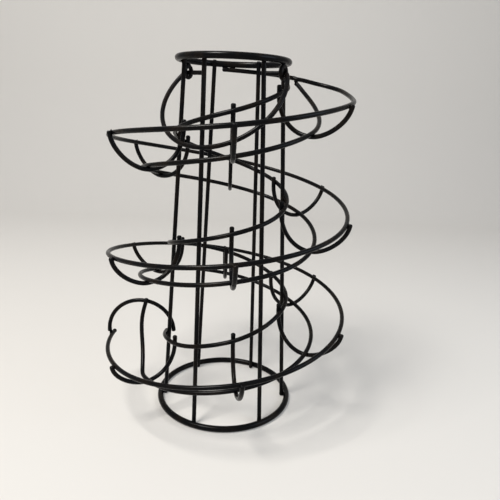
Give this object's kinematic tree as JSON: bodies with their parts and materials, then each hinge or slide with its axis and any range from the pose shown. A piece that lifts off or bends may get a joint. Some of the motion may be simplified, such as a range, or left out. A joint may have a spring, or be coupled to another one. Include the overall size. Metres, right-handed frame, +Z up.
{
  "type": "rolling egg dispenser",
  "caption": "Black wire egg rack: a ribbed track winds down round a tapering cage of posts from the top ring to an arched end stop, with a carrying handle that swings in two eyes",
  "frame": {"origin": "on the floor, on the axis of the foot ring and the cage", "axes": "+Z up the cage's axis; -Y towards the side that the picture shows; +X to its right"},
  "size_m": [0.2183, 0.2206, 0.3066],
  "materials": {
    "black_coat": "satin black powder coat"
  },
  "bodies": {
    "rack": {"foot_ring": "black_coat", "top_ring": "black_coat", "post_1": "black_coat", "post_2": "black_coat", "post_3": "black_coat", "post_4": "black_coat", "post_5": "black_coat", "post_6": "black_coat", "outer_rail": "black_coat", "inner_rail": "black_coat", "bottom_rail": "black_coat", "rib_01": "black_coat", "rib_02": "black_coat", "rib_03": "black_coat", "rib_04": "black_coat", "rib_05": "black_coat", "rib_06": "black_coat", "rib_07": "black_coat", "rib_08": "black_coat", "rib_09": "black_coat", "rib_10": "black_coat", "rib_11": "black_coat", "rib_12": "black_coat", "rib_13": "black_coat", "rib_14": "black_coat", "rib_15": "black_coat", "end_arch": "black_coat", "handle_eye_right": "black_coat", "handle_eye_left": "black_coat"},
    "handle": {"carry_handle": "black_coat"}
  },
  "joints": [
    {"name": "handle_swing", "type": "hinge", "parent": "rack", "child": "handle", "pos_m": [0, 0, 0.29404], "axis": [-0.866, 0.5, 0], "range_deg": [0, 224]}
  ]
}
